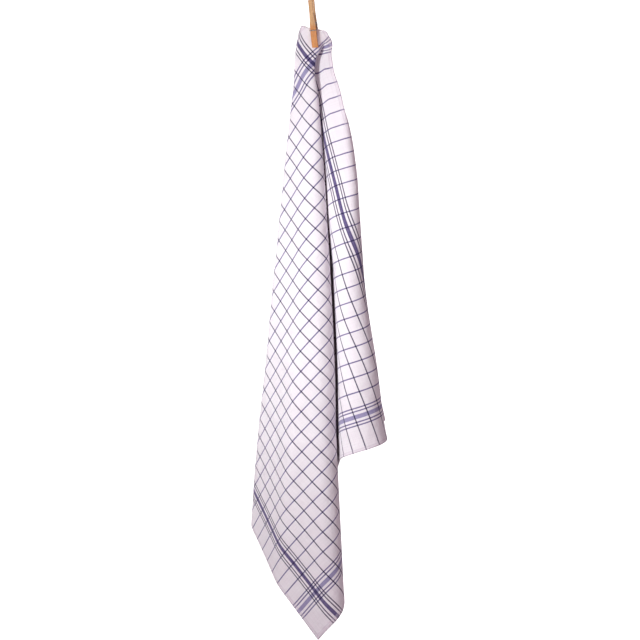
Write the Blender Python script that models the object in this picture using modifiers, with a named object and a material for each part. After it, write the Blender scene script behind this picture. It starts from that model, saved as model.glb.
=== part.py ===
"""A cotton tea towel hung by one corner from a wooden clothes peg.

The towel is one thin sheet. Its top corner is folded over, and the fold is held between
the jaws of the peg. From there the cloth falls in long folds that fan out from the corner,
so the drape is worked out in polar measures of the flat cloth: a point's reach is its
distance from the held corner, and its cloth angle runs from 0 degrees along the short edge
to 90 degrees along the long edge. Every ray keeps its length, and each section of constant
reach is bent but not stretched.

Metres, +Z up. The origin is the middle of the folded top edge, the front faces -Y.
"""

import math
from collections import namedtuple

import bmesh
import bpy
import numpy as np
from mathutils import Euler, Matrix, Vector

MM = 0.001

# The towel, laid flat
TOWEL_WIDTH = 650 * MM
TOWEL_LENGTH = 700 * MM
CLOTH_THICKNESS = 1.4 * MM

# The corner that is folded over the back: distance of the fold line from the corner
FOLD_OVER = 21 * MM
FOLD_RADIUS = 1.3 * MM
FOLD_LINE_SLOPE = 0.12

# The folds. A fold sits at a cloth angle, given at each reach, and turns the cloth over a
# soft width, given in millimetres at each of SOFT_REACHES.
REACHES = np.array([30, 40, 54, 64, 77, 95, 120, 180, 280, 400, 550, 650, 900]) * MM
SOFT_REACHES = np.array([30, 280, 650]) * MM
WIDEST_SOFT_TURN = 14.0
Fold = namedtuple("Fold", "name angles soft_mm")
FOLDS = (
    Fold("edge curl", (1, 1, 1, 1, 1, 1, 1, 1, 1, 1.5, 2.4, 2.6, 2.6), (8, 12, 20)),
    Fold("right ridge", (-20, -20, -20, -18, -14, -9, -4.5, 1.8, 6.1, 9.8, 10.8, 11, 11), (6, 18, 65)),
    Fold("valley", (24, 24, 25, 27.2, 28.5, 29.2, 29.5, 28.9, 28.8, 28.7, 29.3, 29.5, 31), (5, 10, 12)),
    Fold(
        "centre ridge",
        (32.5, 32.5, 33.5, 39.5, 42.5, 43.6, 43.8, 43.9, 43.9, 43.9, 44, 44, 44),
        (4, 12, 20),
    ),
    Fold(
        "front bend",
        (60, 59, 57, 54.5, 53.2, 52.7, 52.5, 52.4, 52.1, 51.2, 50.8, 50.6, 50.4),
        (6, 14, 18),
    ),
    Fold("left ridge", (80, 78, 75.5, 74, 72, 70, 69, 66.4, 63.4, 61.6, 60.5, 60.2, 59), (7, 12, 20)),
    Fold("back fold", (86, 84, 82, 80, 79, 78, 76, 73, 71.5, 70, 69.5, 69.5, 69), (8, 12, 14)),
    Fold("back crease", (88, 88, 87, 86, 85, 84.5, 84, 81, 80, 79, 78.5, 78.5, 78.5), (8, 12, 14)),
)

# The panels between the folds, each with its heading seen from above at each reach, in the
# direction of growing cloth angle: 0 is to the left, 90 to the back, 180 to the right.
Panel = namedtuple("Panel", "name headings")
PANELS = (
    Panel("edge strip", (-95, -95, -95, -95, -95, -95, -95, -95, -95, -95, -60, 0, 0)),
    Panel("edge return", (-95, -95, -95, -95, -95, -95, -95, -95, -95, -100, -115, -125, -125)),
    Panel("right panel", (44, 54, 55, 48, 40, 40, 41, 38, 37, 36, 36, 36, 36)),
    Panel("pleat", (9, -12, -88, -108, -122, -130, -135, -149, -147, -142, -141, -141, -141)),
    Panel("front strip", (9, 9, 9, 9, 14, 18, 20, 22, 22, 22, 22, 23, 23)),
    Panel("left panel", (46, 44, 39, 39, 42, 46, 48, 53, 54, 55, 56, 57, 60)),
    Panel("back panel", (50, 90, 120, 135, 145, 150, 150, 162, 162, 162, 164, 165, 165)),
    Panel("tuck", (50, 70, 80, 60, 42, 32, 28, 18, 16, 14, 12, 12, 12)),
    Panel("last panel", (50, 80, 100, 125, 145, 150, 150, 162, 162, 168, 168, 168, 168)),
)

# The line of the centre ridge: how far it runs to the right and to the back for each
# metre of reach, at each of REACHES.
RIDGE_ANGLE = 44.0
RIDGE_TO_RIGHT = (
    0.018, 0.012, 0.002, 0, 0.014, 0.029, 0.048, 0.069, 0.07, 0.069, 0.065, 0.062, 0.058
)
RIDGE_TO_BACK = (
    -0.003, -0.003, -0.004, -0.014, -0.032, -0.052, -0.068, -0.1, -0.13, -0.15, -0.155, -0.15, -0.14
)

# How finely the drape is worked out, and how finely the sheet is modelled
DRAPE_REACHES = 241
DRAPE_ANGLES = np.linspace(-5, 95, 401)
PANEL_STEP = 2.2
FOLD_STEP = 0.7
TIGHT_FOLDS = {
    "edge curl": 2.0,
    "valley": 2.0,
    "centre ridge": 2.2,
    "left ridge": 3.0,
    "back fold": 2.4,
    "back crease": 2.4,
}
TIGHT_REACH = 0.5
FLAP_ROWS = 2
FOLD_ROWS = 5
HANGING_ROWS = 33
HANGING_CROWDING = 1.7

# The peg. Heights are measured along it from the folded edge, depths from its middle plane.
PEG_LEAN = math.radians(5.5)
PEG_TURN = math.radians(9)
PEG_ASIDE = 0.65 * MM
PEG_TOP = 45 * MM
PEG_TIP = -28 * MM
JAW_GAP = 2.35 * MM
JAW_TIP_THICKNESS = 4.2 * MM
LEG_THICKNESS = 7.2 * MM
HANDLE_THICKNESS = 3.2 * MM
HANDLE_SPREAD = 5.5 * MM
JAW_WIDTH = 8.9 * MM
HANDLE_WIDTH = 6.2 * MM
TAPER_TOP = 25 * MM
JAW_TAPER_HEIGHT = -8 * MM
LINE_NOTCH_RADIUS = 2.6 * MM
LINE_NOTCH_DEPTH = 1.4 * MM
LINE_NOTCH_HEIGHT = -14 * MM
LEG_ROUNDING = 0.5 * MM
WIRE_RADIUS = 0.7 * MM
COIL_RADIUS = 2.6 * MM
COIL_HEIGHT = 7.4 * MM
COIL_TURNS = 5
COIL_STEPS = 16
CROSSBAR_HEIGHT = -1.2 * MM
CROSSBAR_BEND = 1.2 * MM
ARC_STEPS = 6
CLEARANCE = 0.3 * MM

COTTON = ((0.84, 0.83, 0.86, 1), 0.9, 0.0)
BEECH = ((0.66, 0.42, 0.20, 1), 0.6, 0.0)
STEEL = ((0.55, 0.55, 0.56, 1), 0.35, 1.0)


# ---------------------------------------------------------------------------- scene


def clear_scene():
    for obj in list(bpy.data.objects):
        bpy.data.objects.remove(obj, do_unlink=True)


def new_collection(name):
    collection = bpy.data.collections.new(name)
    bpy.context.scene.collection.children.link(collection)
    return collection


def material(name, look):
    colour, roughness, metallic = look
    made = bpy.data.materials.new(name)
    made.use_nodes = True
    shader = made.node_tree.nodes["Principled BSDF"]
    shader.inputs["Base Color"].default_value = colour
    shader.inputs["Roughness"].default_value = roughness
    shader.inputs["Metallic"].default_value = metallic
    return made


def add_object(name, data, collection, look, parent=None):
    obj = bpy.data.objects.new(name, data)
    data.materials.append(look)
    collection.objects.link(obj)
    obj.parent = parent
    return obj


# ---------------------------------------------------------------------------- drape


def at_reach(values, reach):
    """A smooth curve through one value for each of REACHES, level beyond its ends."""
    values = np.asarray(values, float)
    slopes = np.diff(values) / np.diff(REACHES)
    tangents = np.zeros(len(values))
    before, after = slopes[:-1], slopes[1:]
    same_way = before * after > 0
    total = np.where(same_way, before + after, 1.0)
    tangents[1:-1] = np.where(same_way, 2 * before * after / total, 0.0)
    reach = np.clip(reach, REACHES[0], REACHES[-1])
    start = np.clip(np.searchsorted(REACHES, reach) - 1, 0, len(REACHES) - 2)
    step = REACHES[start + 1] - REACHES[start]
    t = (reach - REACHES[start]) / step
    return (
        (2 * t**3 - 3 * t**2 + 1) * values[start]
        + (t**3 - 2 * t**2 + t) * step * tangents[start]
        + (3 * t**2 - 2 * t**3) * values[start + 1]
        + (t**3 - t**2) * step * tangents[start + 1]
    )


def soft_step(x):
    """0 before -1, 1 after 1, and smooth between."""
    x = np.clip(x, -1, 1)
    return 0.5 + 0.75 * x - 0.25 * x**3


def headings(reach, angle):
    """The heading of the cloth in radians for each reach (rows) and angle (columns)."""
    heading = at_reach(PANELS[0].headings, reach)[:, None] + 0 * angle
    for fold, before, after in zip(FOLDS, PANELS, PANELS[1:]):
        turn = at_reach(after.headings, reach) - at_reach(before.headings, reach)
        middle = at_reach(fold.angles, reach)
        soft = np.interp(reach, SOFT_REACHES, np.array(fold.soft_mm) * MM)
        half = np.minimum(np.degrees(soft / reach), WIDEST_SOFT_TURN)
        across = (angle - middle[:, None]) / half[:, None]
        heading = heading + turn[:, None] * soft_step(across)
    return np.radians(heading)


def slopes_of_rays(reach, angle):
    """How far each ray runs to the right and to the back for each metre of reach."""
    heading = headings(reach, angle)
    right = np.zeros_like(heading)
    back = np.zeros_like(heading)
    ridge = int(np.argmin(np.abs(angle - RIDGE_ANGLE)))
    right[:, ridge] = at_reach(RIDGE_TO_RIGHT, reach)
    back[:, ridge] = at_reach(RIDGE_TO_BACK, reach)
    step = math.radians(angle[1] - angle[0])
    onward = [(j, j - 1, step) for j in range(ridge + 1, len(angle))]
    backward = [(j, j + 1, -step) for j in range(ridge - 1, -1, -1)]
    for j, known, turn in onward + backward:
        middle = 0.5 * (heading[:, j] + heading[:, known])
        to_right, to_back = -np.cos(middle), np.sin(middle)
        outward = right[:, known] * to_right + back[:, known] * to_back
        down = np.maximum(0.2, 1 - right[:, known] ** 2 - back[:, known] ** 2)
        length = turn / np.sqrt(1 + outward**2 / down)
        right[:, j] = right[:, known] + to_right * length
        back[:, j] = back[:, known] + to_back * length
    return right, back


class Drape:
    """The hanging cloth below its fold line, as a table over reach and cloth angle."""

    def __init__(self):
        longest = math.hypot(TOWEL_WIDTH, TOWEL_LENGTH)
        self.reach = np.linspace(FOLD_OVER, longest, DRAPE_REACHES)
        self.angle = DRAPE_ANGLES
        right, back = slopes_of_rays(self.reach, self.angle)
        x = self.reach[:, None] * right
        y = self.reach[:, None] * back
        run_x = np.gradient(x, self.reach, axis=0)
        run_y = np.gradient(y, self.reach, axis=0)
        fall = np.sqrt(np.maximum(0.02, 1 - run_x**2 - run_y**2))
        z = np.zeros_like(x)
        z[1:] = -np.cumsum(0.5 * (fall[1:] + fall[:-1]) * np.diff(self.reach)[:, None], axis=0)
        fold_reach = FOLD_OVER / np.cos(np.radians(self.angle - 45))
        for j, held in enumerate(fold_reach):
            edge_x = np.interp(held, self.reach, x[:, j])
            z[:, j] -= np.interp(held, self.reach, z[:, j]) + FOLD_LINE_SLOPE * edge_x
        self.place = np.stack((x, y, z), axis=-1)

    def at(self, reach, angle):
        """Points for arrays of reach and angle, by linear interpolation."""
        i = (reach - self.reach[0]) / (self.reach[1] - self.reach[0])
        j = (angle - self.angle[0]) / (self.angle[1] - self.angle[0])
        i = np.clip(i, 0, len(self.reach) - 1.001)
        j = np.clip(j, 0, len(self.angle) - 1.001)
        row, column = i.astype(int), j.astype(int)
        down, across = (i - row)[..., None], (j - column)[..., None]
        upper = self.place[row, column] * (1 - across) + self.place[row, column + 1] * across
        lower = self.place[row + 1, column] * (1 - across) + self.place[row + 1, column + 1] * across
        return upper * (1 - down) + lower * down


def over_the_fold(past_fold):
    """How far a point lies below the top of the fold and behind the front layer, for its
    distance past the fold line, which is negative on the flap at the back."""
    half_turn = np.clip(past_fold / FOLD_RADIUS, -math.pi / 2, math.pi / 2)
    straight = np.abs(past_fold) - FOLD_RADIUS * np.abs(half_turn)
    below = FOLD_RADIUS * (1 - np.cos(half_turn)) + straight
    behind = FOLD_RADIUS * (1 - np.sin(half_turn))
    return below, behind


def cloth_points(drape, reach, angle):
    """Points of the whole towel, with its folded corner."""
    from_diagonal = np.radians(angle - 45)
    down = reach * np.cos(from_diagonal)
    aside = reach * np.sin(from_diagonal)
    below, behind = over_the_fold(down - FOLD_OVER)
    down = FOLD_OVER + below
    seen_angle = 45 + np.degrees(np.arctan2(aside, down))
    points = drape.at(np.hypot(down, aside), seen_angle)
    points[..., 0] += behind * math.sin(PEG_TURN)
    points[..., 1] += behind * math.cos(PEG_TURN)
    return points


# ---------------------------------------------------------------------------- towel


def sheet_angles():
    """Rays that stand closer at the tight folds, one of them into the bottom corner."""
    reach = np.array([TIGHT_REACH])
    tight = [
        (at_reach(fold.angles, reach)[0], TIGHT_FOLDS[fold.name])
        for fold in FOLDS
        if fold.name in TIGHT_FOLDS
    ]
    angles = [0.0]
    while angles[-1] < 90 - FOLD_STEP:
        here = angles[-1] + FOLD_STEP / 2
        in_fold = any(abs(here - middle) < half for middle, half in tight)
        angles.append(angles[-1] + (FOLD_STEP if in_fold else PANEL_STEP))
    angles = np.array(angles) * 90 / angles[-1]
    corner = math.degrees(math.atan2(TOWEL_LENGTH, TOWEL_WIDTH))
    angles[np.argmin(np.abs(angles - corner))] = corner
    return angles


def sheet_reaches(angle):
    """The reaches of one ray's points, from the corner over the fold and down to the hem."""
    slant = math.cos(math.radians(angle - 45))
    half_fold = FOLD_RADIUS * math.pi / 2
    flap = np.linspace(0, FOLD_OVER - half_fold, FLAP_ROWS, endpoint=False) / slant
    turn = FOLD_OVER + np.linspace(-half_fold, half_fold, FOLD_ROWS, endpoint=False)
    along_width = TOWEL_WIDTH / max(math.cos(math.radians(angle)), 1e-6)
    along_length = TOWEL_LENGTH / max(math.sin(math.radians(angle)), 1e-6)
    hem = min(along_width, along_length)
    share = np.linspace(0, 1, HANGING_ROWS) ** HANGING_CROWDING
    top = (FOLD_OVER + half_fold) / slant
    return np.concatenate((flap, turn / slant, top + (hem - top) * share))


def make_towel(collection):
    angles = sheet_angles()
    reaches = np.array([sheet_reaches(angle) for angle in angles]).T
    points = cloth_points(Drape(), reaches, np.broadcast_to(angles, reaches.shape))
    rows, columns = reaches.shape

    sheet = bmesh.new()
    bmesh.ops.create_grid(sheet, x_segments=columns - 1, y_segments=rows - 1, size=0.5)
    for vertex in sheet.verts:
        column = round((vertex.co.x + 0.5) * (columns - 1))
        row = round((0.5 - vertex.co.y) * (rows - 1))
        vertex.co = points[row, column]
    bmesh.ops.remove_doubles(sheet, verts=sheet.verts, dist=0.05 * MM)
    mesh = bpy.data.meshes.new("towel")
    sheet.to_mesh(mesh)
    sheet.free()
    mesh.shade_smooth()

    towel = add_object("towel", mesh, collection, material("white cotton", COTTON))
    thickness = towel.modifiers.new("thickness", "SOLIDIFY")
    thickness.thickness = CLOTH_THICKNESS
    thickness.offset = 0
    return towel


# ---------------------------------------------------------------------------- peg


def arc(centre, radius, start, end):
    """Points on an arc in the plane of depth and height, angles in degrees."""
    turns = np.radians(np.linspace(start, end, ARC_STEPS + 1))
    return [(centre[0] + radius * math.cos(t), centre[1] + radius * math.sin(t)) for t in turns]


def notch(face_depth, centre, radius):
    """An arc cut into a face at the given depth, from its lower to its upper end."""
    reach = math.degrees(math.acos((face_depth - centre[0]) / radius))
    return arc(centre, radius, -reach, reach)


def leg_outline():
    """Side view of one leg, as (depth, height): the inner face, then the outer one."""
    outer = JAW_GAP + LEG_THICKNESS
    handle = JAW_GAP + HANDLE_SPREAD
    end = handle + HANDLE_THICKNESS
    part_way = TAPER_TOP / PEG_TOP
    inside_of_taper = JAW_GAP + HANDLE_SPREAD * part_way
    outside_of_taper = outer + (end - outer) * part_way
    coil_seat = COIL_RADIUS + WIRE_RADIUS + CLEARANCE
    wire_notch = WIRE_RADIUS + CLEARANCE
    inside = [(JAW_GAP, PEG_TIP)]
    inside += notch(JAW_GAP, (LINE_NOTCH_DEPTH, LINE_NOTCH_HEIGHT), LINE_NOTCH_RADIUS)
    inside += notch(JAW_GAP, (0, COIL_HEIGHT), coil_seat)
    inside += [(inside_of_taper, TAPER_TOP), (handle, PEG_TOP)]
    outside = [(end, PEG_TOP), (outside_of_taper, TAPER_TOP)]
    outside += arc((outer, CROSSBAR_HEIGHT), wire_notch, 100, 260)
    outside += [(outer, JAW_TAPER_HEIGHT), (JAW_GAP + JAW_TIP_THICKNESS, PEG_TIP)]
    return inside + outside


def leg_width(height):
    """The legs are widest at the jaws and narrow towards the ends of the handles."""
    rise = min(max(height / TAPER_TOP, 0), 1)
    return JAW_WIDTH + (HANDLE_WIDTH - JAW_WIDTH) * rise


def outline_mesh(name, outline):
    """A flat outline of (depth, height), raised to the width of the jaws."""
    curve = bpy.data.curves.new(name, "CURVE")
    curve.dimensions = "2D"
    curve.fill_mode = "BOTH"
    curve.extrude = JAW_WIDTH / 2
    spline = curve.splines.new("POLY")
    spline.points.add(len(outline) - 1)
    for point, (depth, height) in zip(spline.points, outline):
        point.co = (depth, height, 0, 1)
    spline.use_cyclic_u = True
    guide = bpy.data.objects.new(name, curve)
    bpy.context.scene.collection.objects.link(guide)
    graph = bpy.context.evaluated_depsgraph_get()
    mesh = bpy.data.meshes.new_from_object(guide.evaluated_get(graph))
    bpy.data.objects.remove(guide, do_unlink=True)
    bpy.data.curves.remove(curve)
    return mesh


def make_leg(name, collection, parent, look, facing):
    """One leg of the peg, its outer face turned to the back or to the front."""
    mesh = outline_mesh(name, leg_outline())
    shape = bmesh.new()
    shape.from_mesh(mesh)
    bmesh.ops.remove_doubles(shape, verts=shape.verts, dist=0.01 * MM)
    for vertex in shape.verts:
        depth, height, aside = vertex.co
        aside *= leg_width(height) / JAW_WIDTH
        vertex.co = (aside, depth, height)
    bmesh.ops.recalc_face_normals(shape, faces=shape.faces)
    shape.to_mesh(mesh)
    shape.free()
    leg = add_object(name, mesh, collection, look, parent)
    leg.rotation_euler = Euler((0, 0, facing))
    rounding = leg.modifiers.new("rounding", "BEVEL")
    rounding.width = LEG_ROUNDING
    rounding.segments = 2
    rounding.limit_method = "ANGLE"
    rounding.angle_limit = math.radians(40)
    return leg


def spring_path():
    """The wire from the front crossbar through the coil to the back crossbar, in the
    peg's own directions (aside, depth, height)."""
    side = JAW_WIDTH / 2 + CLEARANCE + WIRE_RADIUS
    bar = JAW_GAP + LEG_THICKNESS
    cut = 0.3 * CROSSBAR_BEND
    front = [
        Vector((-side, -bar, CROSSBAR_HEIGHT)),
        Vector((side - CROSSBAR_BEND, -bar, CROSSBAR_HEIGHT)),
        Vector((side - cut, cut - bar, CROSSBAR_HEIGHT)),
        Vector((side, CROSSBAR_BEND - bar, CROSSBAR_HEIGHT)),
    ]
    coil = []
    for share in np.linspace(0, 1, COIL_STEPS * COIL_TURNS + 1):
        turn = 2 * math.pi * COIL_TURNS * share
        depth = COIL_RADIUS * math.sin(turn)
        height = COIL_HEIGHT - COIL_RADIUS * math.cos(turn)
        coil.append(Vector((side - 2 * side * share, depth, height)))
    back = [Vector((-p.x, -p.y, p.z)) for p in reversed(front)]
    return front + coil + back


def make_spring(collection, parent, look):
    wire = bpy.data.curves.new("peg_spring", "CURVE")
    wire.dimensions = "3D"
    wire.bevel_depth = WIRE_RADIUS
    wire.bevel_resolution = 2
    wire.use_fill_caps = True
    path = spring_path()
    spline = wire.splines.new("POLY")
    spline.points.add(len(path) - 1)
    for point, place in zip(spline.points, path):
        point.co = (*place, 1)
    return add_object("peg_spring", wire, collection, look, parent)


def make_peg(collection):
    peg = bpy.data.objects.new("peg", None)
    collection.objects.link(peg)
    lean = Matrix.Rotation(-PEG_LEAN, 4, "Y")
    turn = Matrix.Rotation(-PEG_TURN, 4, "Z")
    middle = Matrix.Translation((PEG_ASIDE, FOLD_RADIUS, 0))
    peg.matrix_world = turn @ lean @ middle
    wood = material("beech", BEECH)
    make_leg("peg_leg_back", collection, peg, wood, 0)
    make_leg("peg_leg_front", collection, peg, wood, math.pi)
    make_spring(collection, peg, material("spring steel", STEEL))


def main():
    clear_scene()
    collection = new_collection("tea_towel_on_peg")
    make_towel(collection)
    make_peg(collection)


main()
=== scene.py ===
"""The looks of a cotton tea towel that hangs by one corner from a wooden clothes peg.

The towel is one fine sheet with a sewn hem, draped in the same way as the solid that it
replaces: a point's reach is its distance from the held corner of the flat cloth, and its cloth
angle runs from 0 degrees along the short edge to 90 degrees along the long edge. Its folds fan
out from that corner. The peg's own solids keep their shape and get wood and steel.

Metres, +Z up. The origin is the middle of the folded top edge, the front faces -Y.
"""

import math
from collections import namedtuple

import bpy
import numpy as np
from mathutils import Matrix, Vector


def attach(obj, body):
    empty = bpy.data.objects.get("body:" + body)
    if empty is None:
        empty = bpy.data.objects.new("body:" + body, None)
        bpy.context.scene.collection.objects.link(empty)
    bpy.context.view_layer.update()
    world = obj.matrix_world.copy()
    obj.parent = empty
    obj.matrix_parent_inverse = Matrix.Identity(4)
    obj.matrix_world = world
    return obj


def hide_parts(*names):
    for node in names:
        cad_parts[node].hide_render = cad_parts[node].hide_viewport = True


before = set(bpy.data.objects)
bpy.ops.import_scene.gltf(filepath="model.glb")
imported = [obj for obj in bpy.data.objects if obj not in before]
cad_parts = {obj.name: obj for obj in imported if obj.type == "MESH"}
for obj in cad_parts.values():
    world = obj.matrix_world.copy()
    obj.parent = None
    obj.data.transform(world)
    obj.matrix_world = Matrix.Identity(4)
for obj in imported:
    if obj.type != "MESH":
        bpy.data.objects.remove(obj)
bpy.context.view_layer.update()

MM = 0.001

# ---------------------------------------------------------------------------- the cloth's sizes

TOWEL_WIDTH = 650 * MM
TOWEL_LENGTH = 700 * MM
CLOTH_THICKNESS = 0.8 * MM
HEM_WIDTH = 7 * MM
HEM_THICKNESS = 1.7 * MM
HEM_EASE = 1.0 * MM

FOLD_OVER = 21 * MM
FOLD_RADIUS = 1.3 * MM
FOLD_LINE_SLOPE = 0.12
PEG_TURN = math.radians(9)

# Each fold has a cloth angle at each of REACHES, and a half width at each of SOFT_REACHES. A
# panel's heading is the plan direction of growing cloth angle: 0 left, 90 back, 180 right and
# -90 front. The line of the ridge is how far it runs to the right and back per metre of reach.
REACHES = np.array([30, 40, 54, 64, 77, 95, 120, 150, 190, 280, 400, 550, 650, 900]) * MM
SOFT_REACHES = np.array([30, 280, 650]) * MM
WIDEST_SOFT_TURN = 14.0
Fold = namedtuple("Fold", "name angles soft_mm")
FOLDS = (
    Fold("edge curl", (1, 1, 1, 1, 1, 1, 1, 1, 1, 1, 1.5, 2.4, 2.6, 2.6), (8, 12, 20)),
    Fold(
        "right ridge",
        (-20, -20, -20, -18, -14, -9, -4.5, -1.2, 1.7, 4.9, 9, 10.6, 11, 11),
        (6, 18, 65),
    ),
    Fold(
        "right bend",
        (18, 18, 18, 18, 18, 18, 18.3, 17.3, 16.2, 14.7, 14.4, 16.1, 16.8, 17.5),
        (10, 25, 30),
    ),
    Fold(
        "valley",
        (24, 24, 25, 27.2, 28.9, 30, 30.4, 30.2, 30, 29.8, 29.8, 30.7, 31.2, 31.5),
        (5, 10, 12),
    ),
    Fold(
        "centre ridge",
        (32.5, 32.5, 33.5, 39.5, 43, 44.8, 45.8, 46, 46, 45.9, 45.6, 45.4, 45.3, 45),
        (4, 22, 34),
    ),
    Fold(
        "front bend",
        (60, 59, 57, 54.5, 53.2, 52.7, 52.5, 52.4, 52.4, 52.1, 51.2, 50.9, 50.9, 52),
        (6, 14, 18),
    ),
    Fold(
        "left ridge",
        (80, 78, 75.5, 74, 72, 70, 69, 67.6, 66.2, 63.4, 61.6, 60.5, 60.2, 59),
        (7, 12, 20),
    ),
    Fold(
        "back fold",
        (86, 84, 82, 80, 79, 78, 76.8, 75.2, 73.6, 72.4, 71.3, 71, 70.9, 70),
        (8, 12, 14),
    ),
    Fold(
        "back crease",
        (88, 88, 87, 86, 85, 84.5, 84, 82.5, 80.8, 80, 79, 78.5, 78.5, 78.5),
        (8, 12, 14),
    ),
)
Panel = namedtuple("Panel", "name headings")
PANELS = (
    Panel("edge strip", (-95, -95, -95, -95, -95, -95, -95, -95, -95, -95, -95, -66, -14, 0)),
    Panel(
        "edge return", (-95, -95, -95, -95, -95, -95, -95, -95, -95, -95, -100, -115, -125, -125)
    ),
    Panel("right panel", (44, 54, 55, 48, 40, 39, 40, 41, 39, 36, 36, 37, 36, 36)),
    Panel("right return", (44, 54, 55, 48, 40, 42, 56, 76, 87, 91, 87, 88.6, 86.6, 86.8)),
    Panel("pleat", (9, -12, -88, -108, -122, -130, -126, -113, -104, -97, -97, -95, -97, -97)),
    Panel("front strip", (9, 9, 9, 9, 14, 18, 19, 20, 23, 26, 24, 19, 20, 37)),
    Panel("left panel", (46, 44, 39, 39, 41, 43, 44, 45, 48, 50, 51, 56, 59, 62)),
    Panel("back panel", (50, 90, 120, 135, 145, 150, 150, 156, 162, 157, 151, 150, 152, 157)),
    Panel("tuck", (50, 70, 80, 60, 42, 32, 28, 22, 18, 16, 15, 16, 16, 15)),
    Panel("last panel", (50, 80, 100, 125, 145, 150, 150, 156, 162, 162, 168, 168, 168, 168)),
)
RIDGE_ANGLE = 44.0
RIDGE_TO_RIGHT = (
    0.017, 0.011, 0, -0.002, 0.011, 0.025, 0.053, 0.062, 0.065, 0.064, 0.062, 0.057, 0.052, 0.051
)
RIDGE_TO_BACK = (
    -0.003, -0.003, -0.004, -0.014, -0.032, -0.052, -0.068, -0.083, -0.103, -0.13, -0.15,
    -0.155, -0.15, -0.14,
)
# Cotton gives on the bias: how many millimetres lower it hangs at each of REACHES, and the
# cloth angles between which that sets in and fades out.
Give = namedtuple("Give", "name drops_mm sets_in fades_out")
GIVES = (
    Give("right", (0, 0, 0, 1.5, 3, 5, 6, 6.5, 6, 4, 4, 3.5, 5, 6), (-20, -10), (12, 26)),
    Give("flank", (0, 0, 0, 2, 5, 9, 11, 11, 11, 8, 3, 0, 0, 0), (10, 22), (30, 40)),
    Give("left", (0, 0, 0, 0, 0, 0, 0, 0, 0, 0, 0, -3, -5, -9), (44, 59), (110, 120)),
)
LEAST_FALL = 0.02
LEAST_DOWN = 0.2
DRAPE_REACHES = 481
DRAPE_ANGLES = np.linspace(-5, 95, 801)

# The sheet's rows, from the corner to the hem, and its columns, from edge to edge
FLAP_ROWS = 7
FOLD_ROWS = 8
HANGING_ROWS = 168
HANGING_CROWDING = 1.25
COLUMNS = 236
HEM_LINES = np.array([0.0, 0.5, 1.0]) * (HEM_WIDTH - HEM_EASE)
LARGEST_SINE = 0.6
TINY = 1e-6

# ---------------------------------------------------------------------------- the check

BAND_START = 40.0 * MM
BAND_LINES = ((0.0, 1.9), (4.6, 1.9), (12.4, 6.2), (20.2, 1.9), (24.8, 1.9))
BAND_WIDTH = 24.8 * MM
LINES_ACROSS = 24
LINES_ALONG = 26
LINE_WIDTH = 1.9 * MM

LINE_SOFTNESS = 0.35 * MM
LINE_SWAY = 1.2 * MM
SWAYS_PER_METRE = 14.0

THIN_GROUND = (0.77, 0.725, 0.77, 1)
FULL_GROUND = (0.83, 0.79, 0.83, 1)
TINTED_GROUND = (0.78, 0.72, 0.75, 1)
PALE_LINE = (0.10, 0.08, 0.22, 1)
PALE_STRIPE = (0.25, 0.23, 0.40, 1)
DARK_LINE = (0.018, 0.007, 0.075, 1)
DARK_STRIPE = (0.065, 0.040, 0.190, 1)
# Painted shade: the double hem is tinted a darker grey-lilac, and the sunk line of its seam
# darker still.
HEM_PAINTED_SHADE, HEM_SHADE_SHARE = (0.62, 0.55, 0.62, 1), 0.30
SEAM_PAINTED_SHADE, SEAM_SHADE_SHARE = (0.35, 0.31, 0.37, 1), 0.22

# Yarns and stitches. Scales are details for each metre: across a yarn, and along it.
YARN_PITCH = 0.9 * MM
WEFT_STREAKS = (520.0, 16.0)
WARP_STREAKS = (480.0, 14.0)
FIBRE_SCALE = 900.0
TONE_SCALE = 7.0
STITCH_LINE = 5.6 * MM
STITCH_WIDTH = 0.5 * MM
STITCH_SOFTNESS = 0.2 * MM
STITCH_LENGTH = 3.0 * MM
YARN_RELIEF = 0.35 * MM
CREASE_RELIEF = 4.5 * MM
CREASE_SCALE = 22.0
WRINKLE_SCALE = 75.0
WRINKLE_SHARE = 0.22

# ---------------------------------------------------------------------------- wood and steel

WOOD_PALE = (0.68, 0.42, 0.19, 1)
WOOD_MIDDLE = (0.58, 0.33, 0.14, 1)
WOOD_JAW = (0.68, 0.29, 0.080, 1)
WOOD_JAW_DARK = (0.55, 0.22, 0.06, 1)
WOOD_DARK = (0.24, 0.11, 0.05, 1)
RING_SCALES = (420.0, 16.0, 3.0)
FIBRE_SCALES = (2400.0, 70.0, 2.0)
PORE_SCALES = (3300.0, 420.0, 1.0)
WOOD_RELIEF = 0.15 * MM
JAW_TONE_STARTS = 12 * MM
JAW_TONE_FULL = 2 * MM
STEEL_BRIGHT = (0.36, 0.33, 0.31, 1)
STEEL_DULL = (0.13, 0.11, 0.10, 1)
TARNISH_SCALE = 420.0
DRAWN_SCALE = 2600.0
WIRE_RELIEF = 0.06 * MM

# ---------------------------------------------------------------------------- lights and camera

FLOOR_SIZE = 60
FLOOR_PLACE = (0, 20, -1.9)
FLOOR_COLOUR = (0.9, 0.9, 0.9, 1)
FLOOR_GLOW = 1.3
WORLD_GLOW = 0.345
WORLD_TINT = (1.0, 0.81, 0.90, 1)
KEY_WATTS = 400
KEY_PLACE = (-1.75, -2.15, 0.6)
KEY_TARGET = (-0.02, 0, -0.38)
KEY_CONE = math.radians(26)
KEY_TINT = (0.97, 1.0, 1.0)
KEY_SIZE = 0.7
FILL_WATTS = 36
FILL_PLACE = (0.8, -5.0, 1.1)
FILL_SIZE = 1.5

ELEVATION = math.radians(14)
DISTANCE = 6.0
SENSOR_WIDTH = 36.0
FARTHEST_SEEN = 100
METRES_PER_PIXEL = 1.53 * MM
IMAGE_SIZE = 640
TARGET = Vector((0.00995, 0, -0.451))


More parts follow.
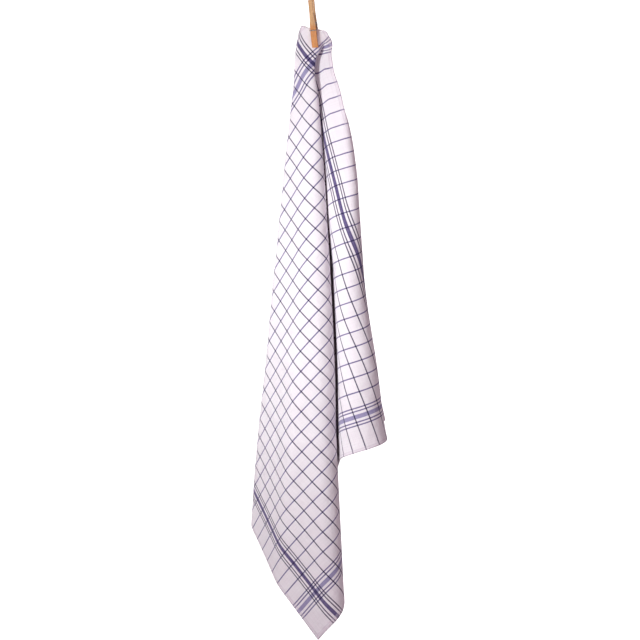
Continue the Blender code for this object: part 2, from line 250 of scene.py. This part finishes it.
def at_reach(values, reach):
    """A smooth curve through one value for each of REACHES, level beyond its ends."""
    values = np.asarray(values, float)
    slopes = np.diff(values) / np.diff(REACHES)
    tangents = np.zeros(len(values))
    before, after = slopes[:-1], slopes[1:]
    same_way = before * after > 0
    total = np.where(same_way, before + after, 1.0)
    tangents[1:-1] = np.where(same_way, 2 * before * after / total, 0.0)
    reach = np.clip(reach, REACHES[0], REACHES[-1])
    start = np.clip(np.searchsorted(REACHES, reach) - 1, 0, len(REACHES) - 2)
    step = REACHES[start + 1] - REACHES[start]
    t = (reach - REACHES[start]) / step
    return (
        (2 * t**3 - 3 * t**2 + 1) * values[start]
        + (t**3 - 2 * t**2 + t) * step * tangents[start]
        + (3 * t**2 - 2 * t**3) * values[start + 1]
        + (t**3 - t**2) * step * tangents[start + 1]
    )


def soft_step(x):
    x = np.clip(x, -1, 1)
    return 0.5 + 0.75 * x - 0.25 * x**3


def smooth_share(value, low, high):
    share = np.clip((value - low) / (high - low), 0, 1)
    return share**2 * (3 - 2 * share)


def headings(reach, angle):
    """The heading of the cloth in radians for each reach (rows) and angle (columns)."""
    heading = at_reach(PANELS[0].headings, reach)[:, None] + 0 * angle
    for fold, before, after in zip(FOLDS, PANELS, PANELS[1:]):
        turn = at_reach(after.headings, reach) - at_reach(before.headings, reach)
        middle = at_reach(fold.angles, reach)
        soft = np.interp(reach, SOFT_REACHES, np.array(fold.soft_mm) * MM)
        half = np.minimum(np.degrees(soft / reach), WIDEST_SOFT_TURN)
        across = (angle - middle[:, None]) / half[:, None]
        heading = heading + turn[:, None] * soft_step(across)
    return np.radians(heading)


def slopes_of_rays(reach, angle):
    """How far each ray runs to the right and to the back for each metre of reach."""
    heading = headings(reach, angle)
    right = np.zeros_like(heading)
    back = np.zeros_like(heading)
    ridge = int(np.argmin(np.abs(angle - RIDGE_ANGLE)))
    right[:, ridge] = at_reach(RIDGE_TO_RIGHT, reach)
    back[:, ridge] = at_reach(RIDGE_TO_BACK, reach)
    step = math.radians(angle[1] - angle[0])
    onward = [(j, j - 1, step) for j in range(ridge + 1, len(angle))]
    backward = [(j, j + 1, -step) for j in range(ridge - 1, -1, -1)]
    for j, known, turn in onward + backward:
        middle = 0.5 * (heading[:, j] + heading[:, known])
        to_right, to_back = -np.cos(middle), np.sin(middle)
        outward = right[:, known] * to_right + back[:, known] * to_back
        down = np.maximum(LEAST_DOWN, 1 - right[:, known] ** 2 - back[:, known] ** 2)
        length = turn / np.sqrt(1 + outward**2 / down)
        right[:, j] = right[:, known] + to_right * length
        back[:, j] = back[:, known] + to_back * length
    return right, back


class Drape:
    """The hanging cloth below its fold line, as a table over reach and cloth angle."""

    def __init__(self):
        longest = math.hypot(TOWEL_WIDTH, TOWEL_LENGTH)
        self.reach = np.linspace(FOLD_OVER, longest, DRAPE_REACHES)
        self.angle = DRAPE_ANGLES
        right, back = slopes_of_rays(self.reach, self.angle)
        x = self.reach[:, None] * right
        y = self.reach[:, None] * back
        run_x = np.gradient(x, self.reach, axis=0)
        run_y = np.gradient(y, self.reach, axis=0)
        fall = np.sqrt(np.maximum(LEAST_FALL, 1 - run_x**2 - run_y**2))
        z = np.zeros_like(x)
        steps = np.diff(self.reach)[:, None]
        z[1:] = -np.cumsum(0.5 * (fall[1:] + fall[:-1]) * steps, axis=0)
        fold_reach = FOLD_OVER / np.cos(np.radians(self.angle - 45))
        for j, held in enumerate(fold_reach):
            edge_x = np.interp(held, self.reach, x[:, j])
            z[:, j] -= np.interp(held, self.reach, z[:, j]) + FOLD_LINE_SLOPE * edge_x
        for give in GIVES:
            share = smooth_share(self.angle, *give.sets_in)
            share = share - smooth_share(self.angle, *give.fades_out)
            z -= at_reach(give.drops_mm, self.reach)[:, None] * MM * share
        self.place = np.stack((x, y, z), axis=-1)

    def at(self, reach, angle):
        """Points for arrays of reach and angle, by linear interpolation."""
        i = (reach - self.reach[0]) / (self.reach[1] - self.reach[0])
        j = (angle - self.angle[0]) / (self.angle[1] - self.angle[0])
        i = np.clip(i, 0, len(self.reach) - 1.001)
        j = np.clip(j, 0, len(self.angle) - 1.001)
        row, column = i.astype(int), j.astype(int)
        down, across = (i - row)[..., None], (j - column)[..., None]
        upper = self.place[row, column] * (1 - across) + self.place[row, column + 1] * across
        below = row + 1
        lower = self.place[below, column] * (1 - across) + self.place[below, column + 1] * across
        return upper * (1 - down) + lower * down


def over_the_fold(past_fold):
    """How far a point lies below the top of the fold and behind the front layer."""
    half_turn = np.clip(past_fold / FOLD_RADIUS, -math.pi / 2, math.pi / 2)
    straight = np.abs(past_fold) - FOLD_RADIUS * np.abs(half_turn)
    below = FOLD_RADIUS * (1 - np.cos(half_turn)) + straight
    behind = FOLD_RADIUS * (1 - np.sin(half_turn))
    return below, behind


def cloth_points(drape, reach, angle):
    """Points of the whole towel, with its folded corner."""
    from_diagonal = np.radians(angle - 45)
    down = reach * np.cos(from_diagonal)
    aside = reach * np.sin(from_diagonal)
    below, behind = over_the_fold(down - FOLD_OVER)
    down = FOLD_OVER + below
    seen_angle = 45 + np.degrees(np.arctan2(aside, down))
    points = drape.at(np.hypot(down, aside), seen_angle)
    points[..., 0] += behind * math.sin(PEG_TURN)
    points[..., 1] += behind * math.cos(PEG_TURN)
    return points


def beside_edge(width, reach):
    """The cloth angle that a line beside an edge takes up at each reach."""
    sine = np.clip(width / np.maximum(reach, TINY), 0, LARGEST_SINE)
    return np.degrees(np.arcsin(sine))


def column_angles():
    """Where each column of the sheet runs: beside an upper edge, or as a share of the angle
    between the hems. One column runs into the bottom corner."""
    shares = np.linspace(0, 1, COLUMNS - 2 * len(HEM_LINES) + 2)[1:-1]
    corner = math.degrees(math.atan2(TOWEL_LENGTH, TOWEL_WIDTH)) / 90
    nearest = shares[int(np.argmin(np.abs(shares - corner)))]
    shares = shares * np.interp(shares, (0, nearest, 1), (1, corner / nearest, 1))
    start = [("start", width, 0.0) for width in HEM_LINES]
    inner = [("inner", share, share * 90) for share in shares]
    end = [("end", width, 90.0) for width in HEM_LINES[::-1]]
    return start + inner + end


def flat_grid():
    """The flat places (across, along) of the sheet's points. Columns beside the two upper
    edges and rows beside the two lower ones run along the hems."""
    half_fold = FOLD_RADIUS * math.pi / 2
    flap = np.linspace(0, FOLD_OVER - half_fold, FLAP_ROWS, endpoint=False)
    turn = FOLD_OVER + np.linspace(-half_fold, half_fold, FOLD_ROWS, endpoint=False)
    hanging = np.linspace(0, 1, HANGING_ROWS) ** HANGING_CROWDING
    columns = []
    for kind, amount, direction in column_angles():
        slant = math.cos(math.radians(direction - 45))
        to_side = TOWEL_WIDTH / max(math.cos(math.radians(direction)), TINY)
        to_end = TOWEL_LENGTH / max(math.sin(math.radians(direction)), TINY)
        hem = min(to_side, to_end)
        spread = hem / (TOWEL_WIDTH if to_side < to_end else TOWEL_LENGTH)
        top, last = (FOLD_OVER + half_fold) / slant, hem - HEM_WIDTH * spread
        reach = np.concatenate(
            (
                flap / slant,
                turn / slant,
                top + (last - top) * hanging,
                hem - HEM_LINES[::-1] * spread,
            )
        )
        if kind == "inner":
            edge = beside_edge(HEM_WIDTH, reach)
            angle = edge + (90 - 2 * edge) * amount
        else:
            edge = beside_edge(amount, reach)
            angle = edge if kind == "start" else 90 - edge
        across, along = np.cos(np.radians(angle)), np.sin(np.radians(angle))
        columns.append(np.stack((reach * across, reach * along), -1))
    return np.array(columns).transpose(1, 0, 2)


def make_towel():
    flat = flat_grid()
    reach = np.hypot(flat[..., 0], flat[..., 1])
    angle = np.degrees(np.arctan2(flat[..., 1], flat[..., 0]))
    angle[reach < TINY] = 45
    points = cloth_points(Drape(), reach, angle)
    rows, columns = reach.shape

    index = np.arange(rows * columns).reshape(rows, columns)
    quads = np.stack((index[:-1, :-1], index[1:, :-1], index[1:, 1:], index[:-1, 1:]), -1)
    mesh = bpy.data.meshes.new("towel_cloth")
    mesh.from_pydata(points.reshape(-1, 3).tolist(), [], quads.reshape(-1, 4).tolist())
    layer = mesh.uv_layers.new(name="flat")
    corner = np.empty(len(mesh.loops), np.int32)
    mesh.loops.foreach_get("vertex_index", corner)
    layer.data.foreach_set("uv", flat.reshape(-1, 2)[corner].astype(np.float32).reshape(-1))
    mesh.shade_smooth()
    towel = bpy.data.objects.new("towel_cloth", mesh)
    bpy.context.scene.collection.objects.link(towel)

    from_edge = np.minimum.reduce(
        (flat[..., 0], flat[..., 1], TOWEL_WIDTH - flat[..., 0], TOWEL_LENGTH - flat[..., 1])
    ).reshape(-1)
    hem = 1 - np.clip((from_edge - (HEM_WIDTH - HEM_EASE)) / HEM_EASE, 0, 1)
    weight = (CLOTH_THICKNESS + (HEM_THICKNESS - CLOTH_THICKNESS) * hem) / HEM_THICKNESS
    group = towel.vertex_groups.new(name="thickness")
    for value in np.unique(np.round(weight, 3)):
        members = np.nonzero(np.round(weight, 3) == value)[0].tolist()
        group.add(members, float(value), "REPLACE")
    solid = towel.modifiers.new("thickness", "SOLIDIFY")
    solid.thickness = HEM_THICKNESS
    solid.offset = 0
    solid.vertex_group = "thickness"
    return towel


# ---------------------------------------------------------------------------- materials


SHADER_INPUTS = {
    "colour": "Base Color",
    "roughness": "Roughness",
    "metallic": "Metallic",
    "normal": "Normal",
    "specular": "Specular IOR Level",
    "translucence": "Subsurface Weight",
    "translucence_tint": "Subsurface Radius",
    "translucence_depth": "Subsurface Scale",
    "sheen": "Sheen Weight",
    "sheen_roughness": "Sheen Roughness",
    "glow_colour": "Emission Color",
    "glow": "Emission Strength",
}


class Nodes:
    """Short calls for building a node tree."""

    def __init__(self, name):
        self.material = bpy.data.materials.new(name)
        self.material.use_nodes = True
        self.tree = self.material.node_tree
        self.shader = self.tree.nodes["Principled BSDF"]

    def add(self, kind, **settings):
        node = self.tree.nodes.new(kind)
        for key, value in settings.items():
            setattr(node, key, value)
        return node

    def plug(self, socket, value):
        if isinstance(value, bpy.types.NodeSocket):
            self.tree.links.new(value, socket)
        else:
            socket.default_value = value

    def math(self, operation, *values):
        node = self.add("ShaderNodeMath", operation=operation)
        for socket, value in zip(node.inputs, values):
            self.plug(socket, value)
        return node.outputs[0]

    def smooth(self, value, low, high, start=0.0, end=1.0):
        node = self.add("ShaderNodeMapRange", interpolation_type="SMOOTHSTEP")
        for socket, amount in zip(node.inputs, (value, low, high, start, end)):
            self.plug(socket, amount)
        return node.outputs[0]

    def mix(self, factor, one, other, **settings):
        node = self.add("ShaderNodeMix", data_type="RGBA", **settings)
        self.plug(node.inputs[0], factor)
        self.plug(node.inputs[6], one)
        self.plug(node.inputs[7], other)
        return node.outputs[2]

    def noise(self, vector, scale, detail=2.0, roughness=0.5):
        node = self.add("ShaderNodeTexNoise")
        self.plug(node.inputs["Vector"], vector)
        self.plug(node.inputs["Scale"], scale)
        self.plug(node.inputs["Detail"], detail)
        self.plug(node.inputs["Roughness"], roughness)
        return node.outputs[0]

    def bump(self, height, strength, distance, under=None):
        """A normal with this relief, over another one where that is given."""
        node = self.add("ShaderNodeBump")
        node.inputs["Strength"].default_value = strength
        node.inputs["Distance"].default_value = distance
        self.plug(node.inputs["Height"], height)
        if under is not None:
            self.plug(node.inputs["Normal"], under)
        return node.outputs[0]

    def set(self, **values):
        """Gives the shader's inputs values or links, each named in lower case."""
        for name, value in values.items():
            self.plug(self.shader.inputs[SHADER_INPUTS[name]], value)

    def vector(self, *values):
        node = self.add("ShaderNodeCombineXYZ")
        for socket, value in zip(node.inputs, values):
            self.plug(socket, value)
        return node.outputs[0]


def line(nodes, place, centre, width, softness=LINE_SOFTNESS):
    """1 on a stripe of the given width about centre, 0 beside it."""
    off = nodes.math("ABSOLUTE", nodes.math("SUBTRACT", place, centre))
    return nodes.smooth(off, width / 2 + softness, width / 2 - softness)


def to_nearer_edge(nodes, place, size):
    return nodes.math("MINIMUM", place, nodes.math("SUBTRACT", size, place))


def check_lines(nodes, place, size, count):
    """The thin lines and the broad border stripe of one direction."""
    from_edge = to_nearer_edge(nodes, place, size)
    thin = broad = None
    for start, width in BAND_LINES:
        stripe = line(nodes, from_edge, BAND_START + start * MM, width * MM)
        if width * MM > LINE_WIDTH:
            broad = stripe
        else:
            thin = stripe if thin is None else nodes.math("MAXIMUM", thin, stripe)
    inner = BAND_START + BAND_WIDTH
    pitch = (size - 2 * inner) / count
    steps = nodes.math("DIVIDE", nodes.math("SUBTRACT", place, inner), pitch)
    off = nodes.math("MULTIPLY", nodes.math("PINGPONG", steps, 0.5), pitch)
    regular = nodes.smooth(off, LINE_WIDTH / 2 + LINE_SOFTNESS, LINE_WIDTH / 2 - LINE_SOFTNESS)
    inside = nodes.math("GREATER_THAN", from_edge, inner + pitch / 2)
    thin = nodes.math("MAXIMUM", thin, nodes.math("MULTIPLY", regular, inside))
    return thin, broad


def swaying(nodes, place, other):
    """A place across the cloth that wanders a little with the place along it."""
    at = nodes.vector(nodes.math("MULTIPLY", other, SWAYS_PER_METRE), place, 0.0)
    sway = nodes.math("SUBTRACT", nodes.noise(at, 1.0), 0.5)
    return nodes.math("ADD", place, nodes.math("MULTIPLY", sway, LINE_SWAY))


def streaks(nodes, one, other, scales):
    """Noise drawn out along the yarns of one direction."""
    fine = nodes.math("MULTIPLY", one, scales[0])
    coarse = nodes.math("MULTIPLY", other, scales[1])
    return nodes.noise(nodes.vector(fine, coarse, 0.0), 1.0, 3.0, 0.6)


def hem_and_stitches(nodes, across, along):
    """Masks of the hem, of its seam and of the stitches in the seam."""
    from_side = to_nearer_edge(nodes, across, TOWEL_WIDTH)
    from_end = to_nearer_edge(nodes, along, TOWEL_LENGTH)
    from_edge = nodes.math("MINIMUM", from_side, from_end)
    hem = nodes.smooth(from_edge, HEM_WIDTH + 0.4 * MM, HEM_WIDTH - 0.6 * MM)
    beside_side = nodes.math("LESS_THAN", from_side, from_end)
    run = nodes.math(
        "ADD",
        nodes.math("MULTIPLY", along, beside_side),
        nodes.math("MULTIPLY", across, nodes.math("SUBTRACT", 1.0, beside_side)),
    )
    dash = nodes.math("PINGPONG", nodes.math("DIVIDE", run, STITCH_LENGTH), 0.5)
    seam = line(nodes, from_edge, STITCH_LINE, STITCH_WIDTH, STITCH_SOFTNESS)
    stitch = nodes.math("MULTIPLY", seam, nodes.smooth(dash, 0.08, 0.16))
    return hem, seam, stitch


def cotton():
    """Plain-woven cotton: dyed yarns cross in both directions, uneven yarns show as fine
    streaks, and a row of stitches holds the hem. Painted shade darkens the double hem and the
    sunk line of its seam."""
    nodes = Nodes("white cotton with a blue check")
    flat = nodes.add("ShaderNodeUVMap", uv_map="flat").outputs[0]
    split = nodes.add("ShaderNodeSeparateXYZ")
    nodes.plug(split.inputs[0], flat)
    across, along = split.outputs[0], split.outputs[1]

    wandering = swaying(nodes, across, along)
    pale, pale_broad = check_lines(nodes, wandering, TOWEL_WIDTH, LINES_ACROSS)
    wandering = swaying(nodes, along, across)
    dark, dark_broad = check_lines(nodes, wandering, TOWEL_LENGTH, LINES_ALONG)

    weft_streaks = streaks(nodes, across, along, WEFT_STREAKS)
    warp_streaks = streaks(nodes, along, across, WARP_STREAKS)
    uneven = nodes.math("ADD", weft_streaks, warp_streaks)
    fibre = nodes.noise(flat, FIBRE_SCALE, 2.0, 0.7)
    ground = nodes.mix(nodes.smooth(uneven, 0.7, 1.3), THIN_GROUND, FULL_GROUND)
    tone = nodes.math("MULTIPLY", nodes.noise(flat, TONE_SCALE, 3.0), 0.25)
    ground = nodes.mix(tone, ground, TINTED_GROUND)

    worn = nodes.math("ADD", uneven, nodes.math("MULTIPLY", fibre, 0.5))
    worn = nodes.smooth(worn, 0.9, 1.7, 0.97, 0.86)
    colour = nodes.mix(nodes.math("MULTIPLY", pale_broad, worn), ground, PALE_STRIPE)
    colour = nodes.mix(nodes.math("MULTIPLY", pale, worn), colour, PALE_LINE)
    for mask, dye in ((dark_broad, DARK_STRIPE), (dark, DARK_LINE)):
        share = nodes.math("MULTIPLY", mask, worn)
        colour = nodes.mix(share, colour, dye, blend_type="MULTIPLY")

    hem, seam, stitch = hem_and_stitches(nodes, across, along)
    # Painted shade: a darker tint over the hem, and more along its sunk seam line.
    colour = nodes.mix(nodes.math("MULTIPLY", hem, HEM_SHADE_SHARE), colour, HEM_PAINTED_SHADE)
    colour = nodes.mix(nodes.math("MULTIPLY", seam, SEAM_SHADE_SHARE), colour, SEAM_PAINTED_SHADE)

    turns = 2 * math.pi / YARN_PITCH
    weft = nodes.math("SINE", nodes.math("MULTIPLY", across, turns))
    warp = nodes.math("SINE", nodes.math("MULTIPLY", along, turns))
    weave = nodes.math("MULTIPLY", nodes.math("MULTIPLY", weft, warp), 0.10)
    height = nodes.math("ADD", weave, nodes.math("MULTIPLY", uneven, 0.25))
    height = nodes.math("ADD", height, nodes.math("MULTIPLY", stitch, 0.6))
    height = nodes.math("SUBTRACT", height, nodes.math("MULTIPLY", seam, 0.8))
    wrinkles = nodes.noise(flat, WRINKLE_SCALE, 2.0, 0.5)
    creases = nodes.math(
        "ADD",
        nodes.noise(flat, CREASE_SCALE, 3.0, 0.45),
        nodes.math("MULTIPLY", wrinkles, WRINKLE_SHARE),
    )
    yarns = nodes.bump(height, 0.55, YARN_RELIEF)
    nodes.set(
        colour=colour,
        normal=nodes.bump(creases, 1.0, CREASE_RELIEF, yarns),
        roughness=nodes.smooth(fibre, 0.3, 0.7, 0.86, 0.96),
        specular=0.2,
        translucence=0.35,
        translucence_tint=(1.0, 0.85, 0.92),
        translucence_depth=3.0 * MM,
        sheen=0.15,
        sheen_roughness=0.6,
    )
    return nodes.material


def wood():
    """Beech with its grain along the peg and short dark pores. Towards the jaws it turns
    darker and more orange than the handle.
    """
    nodes = Nodes("beech")
    place = nodes.add("ShaderNodeTexCoord").outputs["Object"]
    split = nodes.add("ShaderNodeSeparateXYZ")
    nodes.plug(split.inputs[0], place)
    aside, depth, height = split.outputs

    def grain(fine, coarse, detail):
        stretched = nodes.vector(
            nodes.math("MULTIPLY", aside, fine),
            nodes.math("MULTIPLY", depth, fine),
            nodes.math("MULTIPLY", height, coarse),
        )
        return nodes.noise(stretched, 1.0, detail, 0.6)

    rings, fibres, pores = grain(*RING_SCALES), grain(*FIBRE_SCALES), grain(*PORE_SCALES)
    upper = nodes.mix(nodes.smooth(rings, 0.35, 0.65), WOOD_PALE, WOOD_MIDDLE)
    lower = nodes.mix(nodes.smooth(rings, 0.35, 0.65), WOOD_JAW, WOOD_JAW_DARK)
    colour = nodes.mix(nodes.smooth(height, JAW_TONE_STARTS, JAW_TONE_FULL), upper, lower)
    colour = nodes.mix(nodes.smooth(fibres, 0.45, 0.75, 0.0, 0.35), colour, WOOD_DARK)
    colour = nodes.mix(nodes.smooth(pores, 0.62, 0.72, 0.0, 0.55), colour, WOOD_DARK)
    nodes.set(
        colour=colour,
        roughness=nodes.smooth(fibres, 0.3, 0.7, 0.52, 0.70),
        normal=nodes.bump(nodes.math("SUBTRACT", fibres, pores), 0.5, WOOD_RELIEF),
    )
    return nodes.material


def steel():
    """Drawn wire with a dull, unevenly tarnished skin."""
    nodes = Nodes("spring steel")
    place = nodes.add("ShaderNodeTexCoord").outputs["Object"]
    tarnish = nodes.noise(place, TARNISH_SCALE, 4.0, 0.65)
    drawn = nodes.noise(place, DRAWN_SCALE, 2.0, 0.5)
    nodes.set(
        colour=nodes.mix(nodes.smooth(tarnish, 0.40, 0.68), STEEL_BRIGHT, STEEL_DULL),
        roughness=nodes.smooth(tarnish, 0.35, 0.70, 0.30, 0.58),
        metallic=0.92,
        normal=nodes.bump(drawn, 0.35, WIRE_RELIEF),
    )
    return nodes.material


def give(obj, material):
    obj.data.materials.clear()
    obj.data.materials.append(material)


# ---------------------------------------------------------------------------- set


def make_stage():
    bpy.ops.mesh.primitive_plane_add(size=FLOOR_SIZE, location=FLOOR_PLACE)
    floor = bpy.context.object
    floor.name = "floor"
    nodes = Nodes("pale floor")
    nodes.set(colour=FLOOR_COLOUR, roughness=1.0, glow_colour=(1, 1, 1, 1), glow=FLOOR_GLOW)
    give(floor, nodes.material)
    floor.visible_diffuse = False


def add_lamp(name, kind, place, target, energy, colour, size):
    lamp = bpy.data.lights.new(name, kind)
    lamp.energy = energy
    lamp.color = colour
    if kind == "SPOT":
        lamp.shadow_soft_size = size / 2
    else:
        lamp.shape = "DISK"
        lamp.size = size
    made = bpy.data.objects.new(name, lamp)
    bpy.context.scene.collection.objects.link(made)
    made.location = place
    towards = Vector(target) - Vector(place)
    made.rotation_euler = towards.to_track_quat("-Z", "Y").to_euler()
    return lamp


def make_lights():
    world = bpy.data.worlds.new("studio")
    bpy.context.scene.world = world
    world.use_nodes = True
    background = world.node_tree.nodes["Background"]
    background.inputs[0].default_value = WORLD_TINT
    background.inputs[1].default_value = WORLD_GLOW
    key = add_lamp("key", "SPOT", KEY_PLACE, KEY_TARGET, KEY_WATTS, KEY_TINT, KEY_SIZE)
    key.spot_size = KEY_CONE
    key.spot_blend = 1.0
    add_lamp("fill", "AREA", FILL_PLACE, TARGET, FILL_WATTS, WORLD_TINT[:3], FILL_SIZE)


def make_camera():
    data = bpy.data.cameras.new("camera")
    camera = bpy.data.objects.new("camera", data)
    bpy.context.scene.collection.objects.link(camera)
    towards = Vector((0, -math.cos(ELEVATION), math.sin(ELEVATION)))
    camera.location = TARGET + towards * DISTANCE
    camera.rotation_euler = (-towards).to_track_quat("-Z", "Y").to_euler()
    data.sensor_width = SENSOR_WIDTH
    data.lens = data.sensor_width * DISTANCE / (METRES_PER_PIXEL * IMAGE_SIZE)
    data.clip_end = FARTHEST_SEEN
    bpy.context.scene.camera = camera


make_stage()
make_lights()
make_camera()
bpy.context.scene.view_settings.view_transform = "Standard"

towel = make_towel()
give(towel, cotton())
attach(towel, "root")
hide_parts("towel")
beech = wood()
give(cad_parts["peg_leg_front"], beech)
give(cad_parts["peg_leg_back"], beech)
give(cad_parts["peg_spring"], steel())
